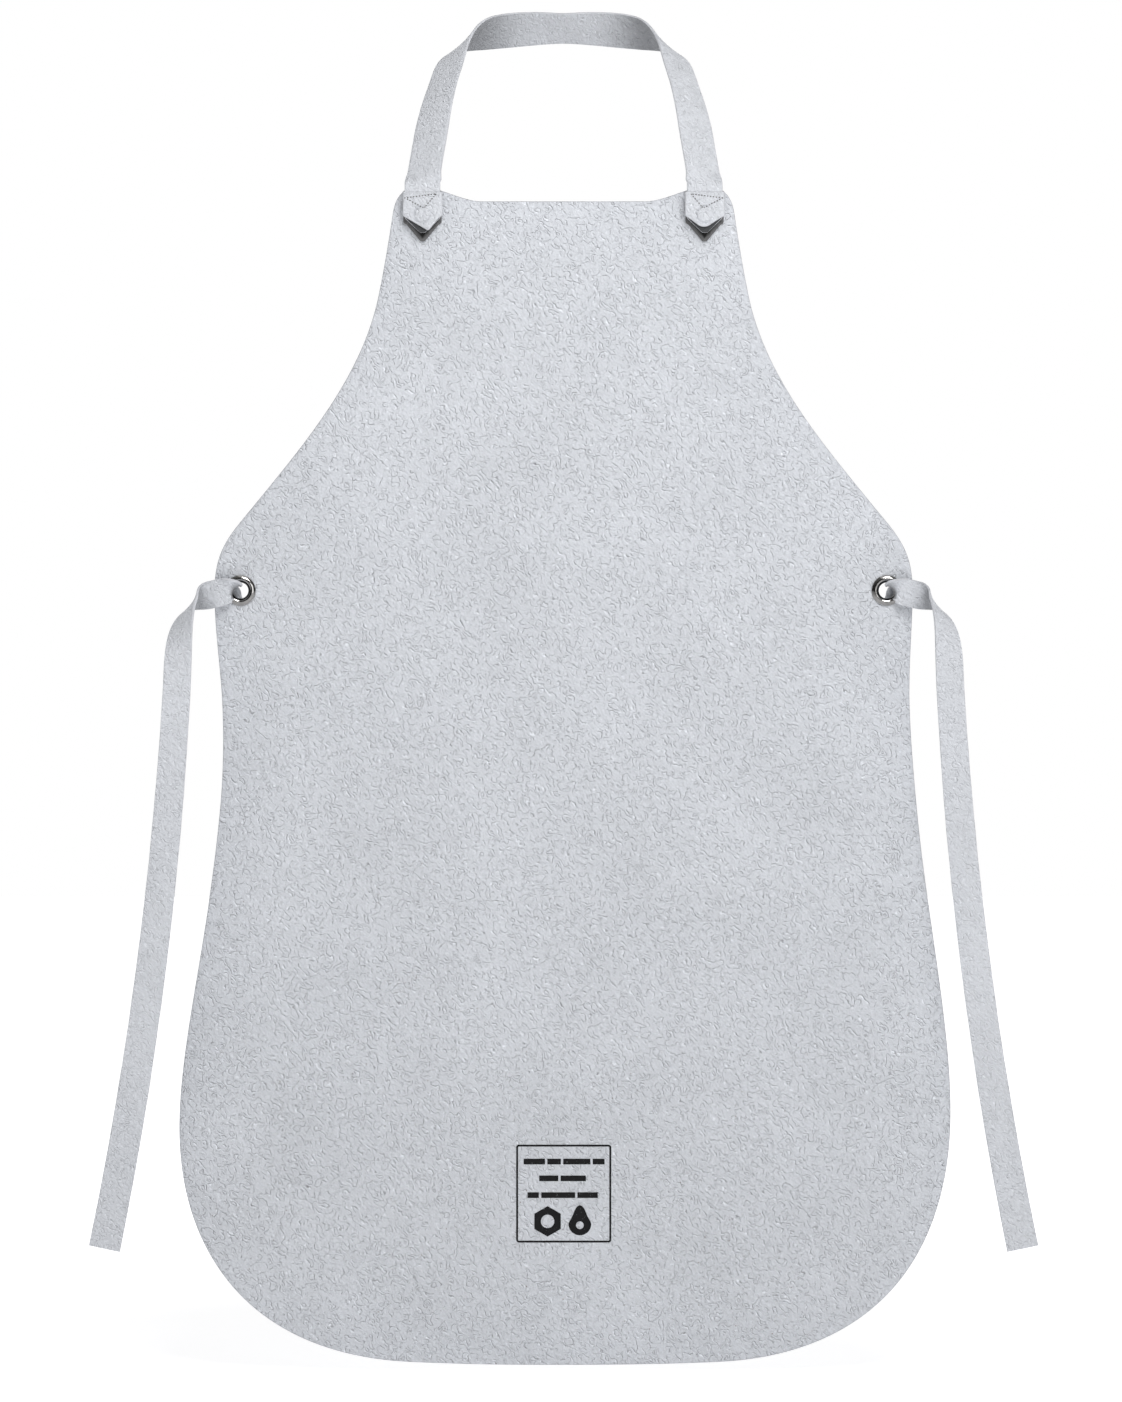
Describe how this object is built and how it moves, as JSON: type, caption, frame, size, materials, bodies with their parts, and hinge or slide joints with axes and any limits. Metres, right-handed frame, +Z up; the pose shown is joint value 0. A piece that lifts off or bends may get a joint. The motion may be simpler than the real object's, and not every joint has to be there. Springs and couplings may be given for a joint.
{
  "type": "welding apron",
  "caption": "Pale split-leather bib apron with a folded neck strap on press-stud tabs and long waist ties knotted through metal eyelets.",
  "frame": {"origin": "middle of the inner face of the neck strap's back, where a neck or a peg carries the apron", "axes": "+Z up along the hanging apron, -Y out of the front of the bib, +X to the viewer's right facing the front"},
  "size_m": [0.7284, 0.1216, 1.0554],
  "materials": {
    "split_leather": "napped split suede, pale blue-grey",
    "strap_leather": "napped split suede strip, cut edges",
    "backing_leather": "dark napped backing",
    "nickel": "polished nickel plate",
    "thread": "twisted sewing thread"
  },
  "bodies": {
    "neck_strap": {"neck_strap": "strap_leather"},
    "apron": {"apron_panel": "split_leather", "strap_end_left": "strap_leather", "tab_left": "strap_leather", "stitching_left": "thread", "snap_cap_left": "nickel", "snap_socket_left": "nickel", "snap_stud_left": "nickel", "snap_post_left": "nickel", "backing_patch_left": "backing_leather", "eyelet_left": "nickel", "eyelet_washer_left": "nickel", "strap_end_right": "strap_leather", "tab_right": "strap_leather", "stitching_right": "thread", "snap_cap_right": "nickel", "snap_socket_right": "nickel", "snap_stud_right": "nickel", "snap_post_right": "nickel", "backing_patch_right": "backing_leather", "eyelet_right": "nickel", "eyelet_washer_right": "nickel"},
    "tie_root_left": {"tie_root_left": "strap_leather", "tie_knot_left": "strap_leather"},
    "tie_left": {"tie_left": "strap_leather"},
    "tie_root_right": {"tie_root_right": "strap_leather", "tie_knot_right": "strap_leather"},
    "tie_right": {"tie_right": "strap_leather"}
  },
  "joints": [
    {"name": "apron_swing", "type": "hinge", "parent": "neck_strap", "child": "apron", "pos_m": [0, -0.09314, -0.12811], "axis": [1, 0, 0], "range_deg": [-50, 20]},
    {"name": "tie_left_swivel", "type": "hinge", "parent": "apron", "child": "tie_root_left", "pos_m": [-0.25, -0.08654, -0.44211], "axis": [0, 1, 0], "range_deg": [-10, 70]},
    {"name": "tie_left_fold", "type": "hinge", "parent": "tie_root_left", "child": "tie_left", "pos_m": [-0.29352, -0.10914, -0.47364], "axis": [1, 0, 0], "range_deg": [-60, 90]},
    {"name": "tie_right_swivel", "type": "hinge", "parent": "apron", "child": "tie_root_right", "pos_m": [0.25, -0.08654, -0.44211], "axis": [0, -1, 0], "range_deg": [-10, 70]},
    {"name": "tie_right_fold", "type": "hinge", "parent": "tie_root_right", "child": "tie_right", "pos_m": [0.29352, -0.10914, -0.47364], "axis": [1, 0, 0], "range_deg": [-60, 90]}
  ]
}
